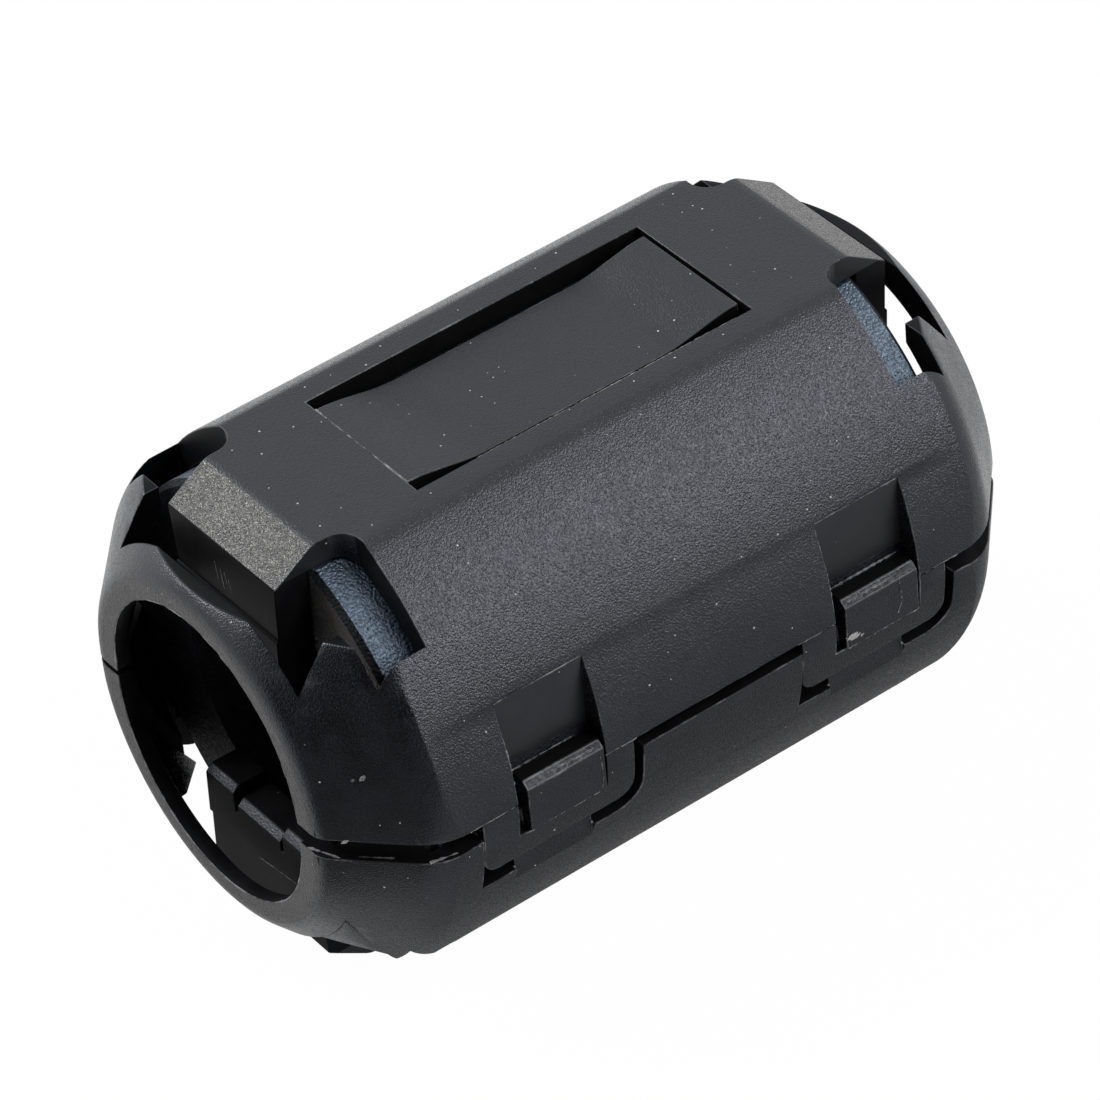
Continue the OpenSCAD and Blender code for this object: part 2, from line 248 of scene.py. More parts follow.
def dust_group():
    """Sparse pale specks of moulding dust."""
    tree, given, made = new_group("Dust", [("Place", None), ("Spacing mm", 1.3), ("Size", 0.06),
                                           ("Share", 0.3)], ["Specks"])
    scale = maths(tree, "DIVIDE", 1000.0, given["Spacing mm"])
    cells = node(tree, "TexVoronoi", {"Vector": given["Place"], "Scale": scale}, feature="F1")
    chance = node(tree, "SeparateColor", {"Color": cells.outputs["Color"]})
    near = maths(tree, "LESS_THAN", cells.outputs["Distance"],
                 maths(tree, "MULTIPLY", given["Size"], maths(tree, "ADD", chance.outputs[1], 0.35)))
    there = maths(tree, "LESS_THAN", chance.outputs[0], given["Share"])
    tree.links.new(maths(tree, "MULTIPLY", near, there), made["Specks"])
    return tree


def drag_marks_group():
    """Fine parallel marks where the part slid out of the mould or was scraped."""
    tree, given, made = new_group("Drag marks", [("Place", None), ("Width mm", 0.08), ("Amount", 0.5)],
                                  ["Marks", "Height"])
    lines = node(tree, "TexNoise", {"Vector": given["Place"], "Detail": 2.0, "Roughness": 0.7,
                                    "Scale": maths(tree, "DIVIDE", 1000.0, given["Width mm"])})
    low = maths(tree, "SUBTRACT", 0.78, maths(tree, "MULTIPLY", given["Amount"], 0.3))
    mark = node(tree, "MapRange", {"Value": lines.outputs["Fac"], "From Min": low, "From Max": 0.8})
    tree.links.new(mark.outputs[0], made["Marks"])
    tree.links.new(lines.outputs["Fac"], made["Height"])
    return tree


def rub_and_highlight_group():
    """Broken pale line along moulded edges, from flash and handling, and painted highlight where edges catch
    the light.
    """
    tree, given, made = new_group("Rubbed edge", [("Place", None), ("Length mm", 1.5), ("Amount", 0.5)],
                                  ["Rub"])
    long = node(tree, "TexNoise", {"Vector": given["Place"], "Detail": 2.0, "Roughness": 0.6,
                                   "Scale": maths(tree, "DIVIDE", 1000.0, given["Length mm"])})
    short = node(tree, "TexNoise", {"Vector": given["Place"], "Detail": 3.0, "Roughness": 0.7,
                                    "Scale": 6000.0})
    both = maths(tree, "ADD", maths(tree, "MULTIPLY", long.outputs["Fac"], 0.65),
                 maths(tree, "MULTIPLY", short.outputs["Fac"], 0.35))
    low = maths(tree, "SUBTRACT", 0.75, maths(tree, "MULTIPLY", given["Amount"], 0.4))
    edge = maths(tree, "ADD", low, 0.16)
    line = node(tree, "MapRange", {"Value": both, "From Min": low, "From Max": edge})
    tree.links.new(line.outputs[0], made["Rub"])
    return tree


GROUPS = {"grain": spark_grain_group(), "dust": dust_group(), "drag": drag_marks_group(),
          "rub_highlight": rub_and_highlight_group()}


def use_group(tree, key, inputs):
    """Places one of the shared groups in a material and gives its outputs."""
    made = node(tree, "Group", node_tree=GROUPS[key])
    for name, value in inputs.items():
        if isinstance(value, bpy.types.NodeSocket):
            tree.links.new(value, made.inputs[name])
        else:
            made.inputs[name].default_value = value
    return made.outputs


def new_material(name, specular, tint=(1.0, 1.0, 1.0)):
    """A material with its tree, its shader and the place on the piece."""
    mat = bpy.data.materials.new(name)
    mat.use_nodes = True
    tree = mat.node_tree
    shader = tree.nodes["Principled BSDF"]
    shader.inputs["Specular IOR Level"].default_value = specular
    shader.inputs["Specular Tint"].default_value = (*tint, 1.0)
    place = node(tree, "TexCoord").outputs["Object"]
    return mat, tree, shader, place


def mix(tree, factor, a, b):
    """Colour a where factor is 0, b where it is 1."""
    made = node(tree, "Mix", {0: factor}, data_type="RGBA")
    for socket, value in ((made.inputs[6], a), (made.inputs[7], b)):
        if isinstance(value, bpy.types.NodeSocket):
            tree.links.new(value, socket)
        else:
            socket.default_value = (*value, 1.0)
    return made.outputs[2]


DUST_PALE = (0.42, 0.42, 0.42)


def moulded_plastic(name, dark, light, rough, grain_mm, grain_depth, dust_share=0.4, specular=0.5,
                    sparkle=0.1, tint=(0.84, 0.89, 1.0), drag=None, drag_axis=(1, 1, 1),
                    drag_colour=(0.12, 0.12, 0.125)):
    """Black moulded nylon: blotched tone, spark grain, dust and, where asked, drag marks."""
    mat, tree, shader, place = new_material(name, specular, tint)
    grain = use_group(tree, "grain", {"Place": place, "Grain mm": grain_mm, "Blotch mm": 1.6})
    dust = use_group(tree, "dust", {"Place": place, "Spacing mm": 0.6, "Size": 0.06, "Share": dust_share})
    colour = mix(tree, grain["Blotch"], dark, light)
    height = grain["Height"]
    if drag:
        stretch = node(tree, "Mapping", {"Vector": place, "Scale": drag_axis}).outputs[0]
        marks = use_group(tree, "drag", {"Place": stretch, "Width mm": 0.07, "Amount": drag})
        colour = mix(tree, marks["Marks"], colour, drag_colour)
    colour = mix(tree, dust["Specks"], colour, DUST_PALE)
    tree.links.new(colour, shader.inputs["Base Color"])
    rough_map = maths(tree, "ADD", rough - 0.03, maths(tree, "MULTIPLY", grain["Blotch"], 0.06))
    glint = ramp(tree, height, 0.45, 0.95, -sparkle, sparkle)
    tree.links.new(maths(tree, "ADD", rough_map, glint), shader.inputs["Roughness"])
    bump = node(tree, "Bump", {"Height": height, "Distance": grain_depth * MM, "Strength": 1.0})
    tree.links.new(bump.outputs[0], shader.inputs["Normal"])
    return mat


def rub_and_highlight_plastic(name, amount, pale):
    """The narrow rounding of moulded edges, with a broken pale line of flash and painted highlight."""
    mat, tree, shader, place = new_material(name, 0.5)
    rub_highlight = use_group(tree, "rub_highlight", {"Place": place, "Length mm": 1.7, "Amount": amount})
    tree.links.new(mix(tree, rub_highlight["Rub"], (0.010, 0.010, 0.0115), pale), shader.inputs["Base Color"])
    shader.inputs["Roughness"].default_value = 0.42
    return mat


def sintered_ferrite(name, dark, light, rough, tint, specular=0.5):
    """Pressed and sintered ferrite: granular blue-grey with dark pits."""
    mat, tree, shader, place = new_material(name, specular, tint)
    shader.inputs["IOR"].default_value = 1.85
    grain = use_group(tree, "grain", {"Place": place, "Grain mm": 0.13, "Blotch mm": 0.9})
    pits = use_group(tree, "dust", {"Place": place, "Spacing mm": 0.28, "Size": 0.26, "Share": 0.6})
    colour = mix(tree, grain["Blotch"], dark, light)
    colour = mix(tree, pits["Specks"], colour, tuple(0.35 * c for c in dark))
    tree.links.new(colour, shader.inputs["Base Color"])
    glint = ramp(tree, grain["Height"], 0.45, 0.95, rough - 0.12, rough + 0.12)
    tree.links.new(glint, shader.inputs["Roughness"])
    bump = node(tree, "Bump", {"Height": grain["Height"], "Distance": 0.08 * MM, "Strength": 1.0})
    tree.links.new(bump.outputs[0], shader.inputs["Normal"])
    return mat


# ---------------------------------------------------------------- finishes

SPARK = moulded_plastic("Spark grained plastic", (0.004, 0.004, 0.005), (0.007, 0.007, 0.0085), 0.30, 0.08,
                        0.038, sparkle=0.16)
MATTE = moulded_plastic("Matte top plastic", (0.009, 0.009, 0.0105), (0.012, 0.012, 0.014), 0.40, 0.09,
                        0.025, 0.8, specular=0.38, sparkle=0.06)
FACE = moulded_plastic("End face plastic", (0.010, 0.010, 0.011), (0.013, 0.013, 0.014), 0.38, 0.09, 0.03,
                       0.15, tint=(0.96, 0.96, 1.0))
POLISHED = moulded_plastic("Polished wall plastic", (0.008, 0.008, 0.0085), (0.011, 0.011, 0.0115), 0.35,
                           0.10, 0.002, 0.1, specular=0.02, sparkle=0.0, drag=0.35,
                           drag_axis=(1.0, 1.0, 0.06), drag_colour=(0.04, 0.04, 0.043))
# A darker, weakly reflecting copy of the plastic for the inner faces: painted shade.
INSIDE_SHADE = moulded_plastic("Inner plastic, painted shade", (0.003, 0.003, 0.0035), (0.005, 0.005, 0.0055), 0.45, 0.15, 0.004,
                         0.05, specular=0.1, sparkle=0.0)
# The pale broken line on rounded edges is flash and wear, and painted highlight where the edges catch the
# light.
RUBBED_HIGHLIT_EDGE = rub_and_highlight_plastic("Rubbed edge plastic", 0.6, (0.15, 0.15, 0.155))
FERRITE = sintered_ferrite("Sintered ferrite", (0.012, 0.018, 0.033), (0.027, 0.037, 0.060), 0.40,
                           (0.66, 0.84, 1.0))
# The paler ground ferrite is real on the joint faces and painted light on the upper half's ends.
FERRITE_GROUND_AND_LIT = sintered_ferrite("Ground ferrite, lit end", (0.030, 0.028, 0.027), (0.045, 0.042, 0.040), 0.60,
                               (1.0, 0.96, 0.93), 0.2)
FERRITE_RIM = sintered_ferrite("Shaded ferrite rim", (0.007, 0.008, 0.010), (0.012, 0.013, 0.016), 0.60,
                               (1.0, 1.0, 1.0), 0.05)
# A lighter, more reflecting copy of the grained plastic for the sloped ends that face the main lamp: painted
# highlight.
SLOPE_HIGHLIGHT = moulded_plastic("Grained plastic, painted highlight", (0.012, 0.012, 0.0125), (0.02, 0.02, 0.021), 0.30, 0.09,
                        0.08, specular=0.95, sparkle=0.24, tint=(1.0, 1.0, 0.98))
GAP = moulded_plastic("Shaded gap plastic", (0.002, 0.002, 0.002), (0.003, 0.003, 0.003), 0.55, 0.15, 0.004,
                      0.0, specular=0.08, sparkle=0.0)
RECESS = moulded_plastic("Smooth recess plastic", (0.010, 0.010, 0.011), (0.013, 0.013, 0.014), 0.34, 0.10,
                         0.004, 0.15, specular=0.36, sparkle=0.0, drag=0.25, drag_axis=(1.0, 1.0, 0.06),
                         drag_colour=(0.03, 0.03, 0.033))
# Pale patches on the hooks' chamfered noses: torn plastic, and painted highlight where the lamp strikes them.
TORN_HIGHLIT = moulded_plastic("Torn nose plastic, painted highlight", (0.004, 0.004, 0.005), (0.05, 0.05, 0.052), 0.55, 0.16, 0.09,
                       0.6, specular=0.4, sparkle=0.2)
CONE = moulded_plastic("Fine grained cone plastic", (0.004, 0.004, 0.005), (0.007, 0.007, 0.0085), 0.30,
                       0.08, 0.02, sparkle=0.1)
SHELL_FINISHES = [SPARK, MATTE, FACE, POLISHED, INSIDE_SHADE, RUBBED_HIGHLIT_EDGE, SLOPE_HIGHLIGHT, GAP, RECESS, TORN_HIGHLIT, CONE]
(ON_SPARK, ON_MATTE, ON_FACE, ON_POLISHED, ON_INSIDE_SHADE, ON_EDGE, ON_SLOPE_HIGHLIGHT, ON_GAP, ON_RECESS, ON_TORN_HIGHLIT,
 ON_CONE) = range(len(SHELL_FINISHES))
FERRITE_FINISHES = [FERRITE, FERRITE_GROUND_AND_LIT, FERRITE_RIM]
ON_SINTERED, ON_GROUND_AND_LIT, ON_RIM = range(len(FERRITE_FINISHES))


def shell_finish(centre, normal):
    """Which finish a face of a shell has, from its place (mm) and normal; some finishes are painted highlight
    and painted shade.
    """
    x, y, z = (abs(c) / MM for c in centre)
    nx, ny, nz = (abs(c) for c in normal)
    outward = normal[2] * centre[2] > 0
    # Sloped ends of the top: the steeper faces get the lighter copy as painted highlight, their rounding the
    # matte top.
    if x > BEND_X - 0.8 and y < 4.3 and nz > 0.6 and z > 9.0 and outward:
        return ON_SLOPE_HIGHLIGHT if nx > 0.33 else ON_MATTE
    if nz > SQUARE and z > TOP_Z - 0.7 and outward:
        return ON_MATTE
    # The walls of the corner cut-outs, square to the cable, get the dark inner finish as painted shade.
    if nx > SQUARE and abs(x - NOTCH_X) < 0.05:
        return ON_INSIDE_SHADE
    if ny > SQUARE and abs(y - WALL_Y) < 0.05 and x > NOTCH_X:
        return ON_RECESS
    # The flat tops of the hooks behind the windows get the gap finish as painted shade.
    if nz > SQUARE and abs(centre[2] / MM - HOOK_TOP_Z) < 0.02 and centre[1] < 0:
        return ON_GAP
    # The chamfered noses of the hooks: torn plastic with painted highlight.
    nose = HOOK_TOP_Z - 0.4 < centre[2] / MM < HOOK_TOP_Z
    if 0.5 < nz < 0.9 and 0.4 < ny < 0.9 and y > 11.1 and nose:
        return ON_TORN_HIGHLIT
    if nx > SQUARE and x > END_X - 0.05:
        return ON_FACE
    if nx > SQUARE and STOP_X - 0.05 < x < FOOT_X + 0.05:
        return ON_POLISHED
    if ny > SQUARE and abs(y - WINDOW_Y) < 0.03 and centre[1] < 0:
        return ON_RECESS
    # The walls of the leaf's slot get the gap finish as painted shade.
    if ny > 0.9 and LEAF_Y - 0.05 < y < SLOT_Y + 0.05 and x < 9.0:
        return ON_GAP
    radial = Vector((0.0, centre[1], centre[2])).dot(Vector((0.0, normal[1], normal[2])))
    reach = math.hypot(y, z)
    if 0.3 < nx < 0.95 and radial > 0 and x > 12.5:
        return ON_CONE
    if reach > 11.0 and radial > 0:
        return ON_SPARK
    # The chamfers of the inner ribs keep the lighter matte finish, a painted highlight against the painted
    # shade of the inner faces.
    if reach < 9.3 and 0.6 < nx < 0.8 and 0.6 < nz < 0.8:
        return ON_MATTE
    # All remaining faces get the dark inner finish as painted shade.
    return ON_INSIDE_SHADE


def in_gap(centre):
    """Whether an edge lies deep in a gap, where it takes painted shade instead of the pale line."""
    x, y, z = (abs(c) / MM for c in centre)
    step = STOP_X - 0.1 < x < FOOT_X + 0.1 and z > 6.5
    hook_top = centre[1] < 0 and abs(centre[2] / MM - HOOK_TOP_Z) < 0.1 and 10.5 < y < 11.2
    return step or hook_top


def is_inner(centre):
    """Whether an edge lies inside the case, behind its end plates."""
    x, y, z = (abs(c) / MM for c in centre)
    return math.hypot(y, z) < 9.3 and x < END_X - 0.3


def on_cone_notch(centre):
    """Whether an edge belongs to a notch in a coned end."""
    x, y, z = (abs(c) / MM for c in centre)
    return BEND_X < x < END_X - 0.3 and z > 5.0 and math.hypot(y, z) > 9.3


def close_end_seam(obj, from_z, to_z):
    """Moves the seam's edge of the coned ends on the hinge side, where the halves nearly meet."""
    edit(obj)
    select_verts(obj, lambda co: co.y / MM > 3 and abs(co.x / MM) > 14.3 and abs(co.z / MM - from_z) < 0.02)
    bpy.ops.transform.translate(value=(0, 0, (to_z - from_z) * MM))
    done_editing()


def trim_bevel(obj):
    """Presses the bevel's corners back to the flat outer faces."""
    for vert in obj.data.vertices:
        vert.co.z = max(-TOP_Z * MM, min(TOP_Z * MM, vert.co.z))


def finished_shell(node_name, name, body):
    """The shell as moulded: rounded edges and a finish for each region, with painted highlight on the sloped
    ends and edges and painted shade inside and in the gaps.
    """
    obj = merged_copy(node_name, name)
    if body == "cover":
        close_end_seam(obj, SEAM_Z, SEAM_Z - UPPER_SEAM_SHIFT)
    else:
        close_end_seam(obj, SEAM_END_Z, SEAM_END_Z + LOWER_SEAM_SHIFT)
    for mat in SHELL_FINISHES:
        obj.data.materials.append(mat)
    for face in obj.data.polygons:
        face.material_index = shell_finish(face.center, face.normal)
    apply_modifier(obj, "BEVEL", width=EDGE_ROUND * MM, segments=2, limit_method="ANGLE",
                   angle_limit=math.radians(EDGE_ANGLE), material=ON_EDGE, use_clamp_overlap=False,
                   miter_outer="MITER_SHARP")
    trim_bevel(obj)
    for face in obj.data.polygons:
        if face.material_index != ON_EDGE:
            continue
        # Edges deep in gaps and inside the case take painted shade instead of the pale line.
        if in_gap(face.center):
            face.material_index = ON_GAP
        elif is_inner(face.center):
            face.material_index = ON_INSIDE_SHADE
        elif on_cone_notch(face.center):
            face.material_index = ON_CONE
    pick(obj)
    bpy.ops.object.shade_smooth_by_angle(angle=math.radians(SMOOTH_ANGLE))
    apply_modifier(obj, "WEIGHTED_NORMAL", keep_sharp=True, weight=50)
    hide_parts(node_name)
    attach(obj, body)
    return obj


finished_shell("upper_shell", "upper_moulding", "cover")
finished_shell("lower_shell", "lower_moulding", "base")


# ---------------------------------------------------------------- corner webs

def corner_web(name, end, side):
    """A piece of the coned end that narrows a corner cut-out of the lower shell."""
    deselect()
    bpy.ops.mesh.primitive_cone_add(vertices=180, radius1=WEB_R_IN * MM, radius2=WEB_R_OUT * MM,
                                    depth=(WEB_X_OUT - WEB_X_IN) * MM, end_fill_type="NOTHING",
                                    location=(end * (WEB_X_IN + WEB_X_OUT) / 2 * MM, 0, 0),
                                    rotation=(0, math.radians(90 * end), 0))
    obj = settle(bpy.context.object)
    obj.name = name
    edge_a = Vector((end * WEB_X_OUT, side * 5.5, -7.25)) * MM
    edge_b = Vector((end * 15.12, side * 7.6, -7.92)) * MM
    outward = Vector((0, side * 0.66, -0.75))
    free_side = (edge_b - edge_a).cross(outward).normalized()
    if free_side.z > 0:
        free_side.negate()
    side_plane = (Vector((0, side * WEB_SIDE_Y * MM, 0)), Vector((0, side, 0)))
    for place, normal in (side_plane, (edge_a, free_side), (Vector((0, 0, 0)), Vector((0, 0, 1)))):
        edit(obj)
        bpy.ops.mesh.select_all(action="SELECT")
        bpy.ops.mesh.bisect(plane_co=place, plane_no=normal, clear_outer=True)
        done_editing()
    edit(obj)
    select_verts(obj, lambda co: co.y * side < 0)
    bpy.ops.mesh.delete(type="VERT")
    bpy.ops.mesh.select_all(action="SELECT")
    bpy.ops.mesh.normals_make_consistent(inside=False)
    done_editing()
    face = obj.data.polygons[0]
    if face.normal.y * face.center.y + face.normal.z * face.center.z < 0:
        edit(obj)
        bpy.ops.mesh.select_all(action="SELECT")
        bpy.ops.mesh.flip_normals()
        done_editing()
    apply_modifier(obj, "SOLIDIFY", thickness=WEB_T * MM, offset=-1.0)
    apply_modifier(obj, "BEVEL", width=FINE_ROUND * MM, segments=2, limit_method="ANGLE",
                   angle_limit=math.radians(FINE_ANGLE))
    pick(obj)
    bpy.ops.object.shade_smooth_by_angle(angle=math.radians(SMOOTH_ANGLE))
    obj.data.materials.append(CONE)
    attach(obj, "base")
    return obj


for end_name, end in (("near", -1), ("far", 1)):
    for side_name, side in (("latch", -1), ("hinge", 1)):
        corner_web(f"{end_name}_{side_name}_corner_web", end, side)


# ---------------------------------------------------------------- ferrite

def dressed_ferrite(node_name, end_index):
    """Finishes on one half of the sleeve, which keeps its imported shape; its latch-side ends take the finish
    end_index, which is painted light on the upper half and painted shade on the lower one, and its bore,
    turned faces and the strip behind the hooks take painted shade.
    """
    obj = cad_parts[node_name]
    obj.data.materials.clear()
    for mat in FERRITE_FINISHES:
        obj.data.materials.append(mat)
    for face in obj.data.polygons:
        across = abs(face.normal.x)
        height = face.center.z / MM
        # The bore, the faces turned along the cable and the strip seen behind the hooks get painted shade.
        behind_hook = face.normal.y < -0.9 and 0.9 < height < 1.8
        bore = face.normal.y * face.center.y + face.normal.z * face.center.z < 0
        ground_joint = abs(face.normal.z) > SQUARE and abs(face.center.z) < 0.5 * MM
        shaded = across > 0.2 or behind_hook or bore
        lit_end = across > 0.95 and face.center.y < 2 * MM
        if lit_end:
            face.material_index = end_index
        elif ground_joint:
            face.material_index = ON_GROUND_AND_LIT
        else:
            face.material_index = ON_RIM if shaded else ON_SINTERED


# The upper half's latch-side ends get the paler finish as painted light, the lower half's ends the shaded one
# as painted shade.
dressed_ferrite("ferrite_upper", ON_GROUND_AND_LIT)
dressed_ferrite("ferrite_lower", ON_RIM)


# ---------------------------------------------------------------- hinge straps

def living_hinge(name, x_mid, node_name):
    """A strap that bends from the lower shell's root to the upper one's."""
    deselect()
    bpy.ops.mesh.primitive_plane_add(size=STRAP_W * MM, location=(x_mid * MM, ROOT_Y * MM, -STRAP_R * MM))
    obj = settle(bpy.context.object)
    obj.name = name
    edit(obj)
    select_verts(obj, lambda co: co.y < ROOT_Y * MM)
    bpy.ops.mesh.delete(type="VERT")
    bpy.ops.mesh.select_all(action="SELECT")
    bpy.ops.transform.translate(value=(0, -STRAP_W / 2 * MM, 0))
    bpy.ops.mesh.subdivide(number_cuts=11)
    bpy.ops.mesh.spin(steps=24, angle=math.pi, center=(x_mid * MM, ROOT_Y * MM, 0), axis=(1, 0, 0))
    bpy.ops.mesh.select_all(action="SELECT")
    bpy.ops.mesh.remove_doubles(threshold=0.000001)
    bpy.ops.mesh.normals_make_consistent(inside=False)
    done_editing()
    apply_modifier(obj, "SOLIDIFY", thickness=STRAP_T * MM, offset=0.0)
    apply_modifier(obj, "BEVEL", width=FINE_ROUND * MM, segments=2, limit_method="ANGLE",
                   angle_limit=math.radians(FINE_ANGLE))
    pick(obj)
    bpy.ops.object.shade_smooth_by_angle(angle=math.radians(FINE_ANGLE))
    obj.data.materials.clear()
    obj.data.materials.append(MATTE)
    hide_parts(node_name)
    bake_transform(obj)
    return obj


living_hinge("hinge_web_left", -STRAP_X, "hinge_strap_left")
living_hinge("hinge_web_right", STRAP_X, "hinge_strap_right")


# ---------------------------------------------------------------- flash, burrs and painted edge highlights

def sliver_line(name, start, end, width, seed, body, finish):
    """A ragged sliver of mould flash along a straight edge (mm), which along rims and window edges is also a
    painted edge highlight.
    """
    a, b = Vector(start), Vector(end)
    along = b - a
    deselect()
    bpy.ops.mesh.primitive_cube_add(size=1, location=(0, 0, 0))
    obj = bpy.context.object
    obj.name = name
    obj.scale = (along.length * MM, width * MM, 0.6 * width * MM)
    settle(obj)
    edit(obj)
    mesh = bmesh.from_edit_mesh(obj.data)
    for line in mesh.edges:
        line.select = abs(line.verts[0].co.x - line.verts[1].co.x) > 0.5 * along.length * MM
    bmesh.update_edit_mesh(obj.data)
    bpy.ops.mesh.subdivide(number_cuts=max(3, int(along.length / SLIVER_STEP)))
    rough = random.Random(seed)
    mesh = bmesh.from_edit_mesh(obj.data)
    stations = sorted({round(vert.co.x, 7) for vert in mesh.verts})
    sizes = {x: max(0.15, rough.gauss(0.85, 0.42)) for x in stations}
    for vert in mesh.verts:
        size = sizes[round(vert.co.x, 7)]
        vert.co.y *= size
        vert.co.z *= size
    bmesh.update_edit_mesh(obj.data)
    bpy.ops.mesh.select_all(action="SELECT")
    bpy.ops.transform.vertex_random(offset=0.12 * width * MM, seed=seed)
    bpy.ops.mesh.normals_make_consistent(inside=False)
    done_editing()
    turn = along.to_track_quat("X", "Z").to_matrix().to_4x4()
    obj.matrix_world = Matrix.Translation((a + b) / 2 * MM) @ turn
    settle(obj)
    obj.data.materials.append(finish)
    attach(obj, body)
    return obj


def sliver_ring(name, x, up, width, seed, body, finish):
    """A ragged sliver of flash round one shell's half of the cable hole, also a painted highlight on the
    hole's edge.
    """
    deselect()
    bpy.ops.mesh.primitive_torus_add(major_segments=RING_STEPS, minor_segments=5, major_radius=HOLE_R * MM,
                                     minor_radius=width / 2 * MM, location=(x * MM, 0, up * HOLE_RISE * MM),
                                     rotation=(0, math.radians(90), 0))
    obj = settle(bpy.context.object)
    obj.name = name
    edit(obj)
    rough = random.Random(seed)
    mesh = bmesh.from_edit_mesh(obj.data)
    sizes = [max(0.1, rough.gauss(0.8, 0.45)) for _ in range(RING_STEPS)]
    for vert in mesh.verts:
        turn = math.atan2(vert.co.z - up * HOLE_RISE * MM, vert.co.y)
        size = sizes[round(turn / math.tau * RING_STEPS) % RING_STEPS]
        ring = Vector((x, HOLE_R * math.cos(turn), HOLE_R * math.sin(turn) + up * HOLE_RISE)) * MM
        vert.co = ring + (vert.co - ring) * size
        vert.select = vert.co.z * up < 0.62 * MM
    bmesh.update_edit_mesh(obj.data)
    bpy.ops.mesh.delete(type="VERT")
    bpy.ops.mesh.select_all(action="SELECT")
    bpy.ops.mesh.fill_holes(sides=6)
    bpy.ops.mesh.normals_make_consistent(inside=False)
    done_editing()
    obj.data.materials.append(finish)
    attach(obj, body)
    return obj


# Pale slivers: flash, scratches, outlines and crumbs; along the shell rims, the tab and window edges and the
# cable hole they are also painted edge highlight.
FLASH_AND_HIGHLIGHT = rub_and_highlight_plastic("Flash and highlight plastic", 0.9, (0.24, 0.24, 0.245))
SLIVER_LINES = [
    # name, start, end, width, seed, body
    ("left_window_flash", (-10.4, -10.62, 1.27), (-6.8, -10.62, 1.27), 0.07, 3, "cover"),
    ("right_window_flash", (6.6, -10.62, 1.27), (10.2, -10.62, 1.27), 0.07, 19, "cover"),
    ("left_tab_flash", (-13.0, -11.71, 0.45), (-10.75, -11.71, 0.45), 0.05, 23, "cover"),
    ("left_tab_far_flash", (-6.1, -11.71, 0.45), (-4.5, -11.71, 0.45), 0.06, 29, "cover"),
    ("right_tab_flash", (4.0, -11.71, 0.45), (5.9, -11.71, 0.45), 0.05, 31, "cover"),
    ("right_tab_far_flash", (10.9, -11.71, 0.45), (12.6, -11.71, 0.45), 0.05, 37, "cover"),
    ("left_bar_flash", (-10.3, -11.59, -1.36), (-6.5, -11.59, -1.36), 0.07, 41, "cover"),
    ("right_bar_flash", (6.7, -11.59, -1.36), (10.5, -11.59, -1.36), 0.07, 43, "cover"),
    ("leaf_slot_flash", (-5.6, -SLOT_Y, TOP_Z - 0.02), (7.8, -SLOT_Y, TOP_Z - 0.02), 0.035, 47, "cover"),
    ("lower_rim_flash", (-14.7, -11.1, -0.58), (-12.6, -11.7, -0.5), 0.09, 67, "base"),
    ("lower_end_rim_flash", (-17.85, -7.0, -0.57), (-17.25, -8.4, -0.57), 0.07, 71, "base"),
    ("lower_rim_flash_2", (-16.6, -8.85, -0.6), (-15.6, -9.9, -0.6), 0.06, 101, "base"),
    ("hole_hair", (-17.86, -4.33, -5.33), (-17.86, -4.5, -5.72), 0.06, 73, "base"),
    ("inner_wall_line", (-15.98, -2.5, -6.9), (-15.86, 0.5, -7.5), 0.035, 103, "base"),
    ("left_window_top_flash", (-10.5, -10.56, 5.08), (-6.1, -10.56, 5.08), 0.045, 107, "cover"),
    ("right_window_top_flash", (6.1, -10.56, 5.08), (10.5, -10.56, 5.08), 0.045, 109, "cover"),
    ("left_window_side_flash", (-10.55, -10.6, 4.9), (-10.55, -11.29, 2.95), 0.04, 113, "cover"),
    ("left_window_low_flash", (-10.55, -11.3, 2.9), (-10.55, -11.57, 1.4), 0.04, 127, "cover"),
    ("right_window_side_flash", (6.05, -10.6, 4.9), (6.05, -11.29, 2.95), 0.04, 131, "cover"),
    ("right_window_low_flash", (6.05, -11.3, 2.9), (6.05, -11.57, 1.4), 0.04, 137, "cover"),
    ("left_hook_outline", (-6.38, -11.71, 0.55), (-6.28, -11.71, -0.5), 0.05, 139, "base"),
    ("left_hook_outline_low", (-6.28, -11.71, -0.55), (-6.42, -11.71, -1.15), 0.045, 149, "base"),
    ("right_hook_outline", (9.45, -11.71, 0.9), (9.56, -11.71, -0.28), 0.045, 151, "base"),
    ("right_hook_outline_low", (9.56, -11.71, -0.35), (9.3, -11.71, -0.85), 0.045, 157, "base"),
    ("left_hook_scuff", (-8.4, -11.53, 1.07), (-6.45, -11.53, 1.07), 0.15, 163, "base"),
    ("right_hook_scuff", (6.8, -11.53, 1.07), (9.2, -11.53, 1.07), 0.11, 167, "base"),
    ("wall_scratch_1", (-STOP_X, 0.6, 8.75), (-STOP_X, 0.5, 7.9), 0.03, 79, "cover"),
    ("wall_scratch_2", (-STOP_X, 0.25, 8.6), (-STOP_X, 0.1, 7.6), 0.04, 83, "cover"),
    ("wall_scratch_3", (-STOP_X, -0.05, 8.55), (-STOP_X, -0.15, 7.9), 0.03, 89, "cover"),
    ("wall_scratch_4", (-STOP_X, -0.3, 8.3), (-STOP_X, -0.4, 7.6), 0.025, 97, "cover"),
    ("leaf_root_flash", (LEAF_ROOT_X, -LEAF_Y, TOP_Z - 0.012), (LEAF_ROOT_X, LEAF_Y, TOP_Z - 0.012), 0.04, 53,
     "cover"),
]
for name, start, end, width, seed, body in SLIVER_LINES:
    sliver_line(name, start, end, width, seed, body, FLASH_AND_HIGHLIGHT)


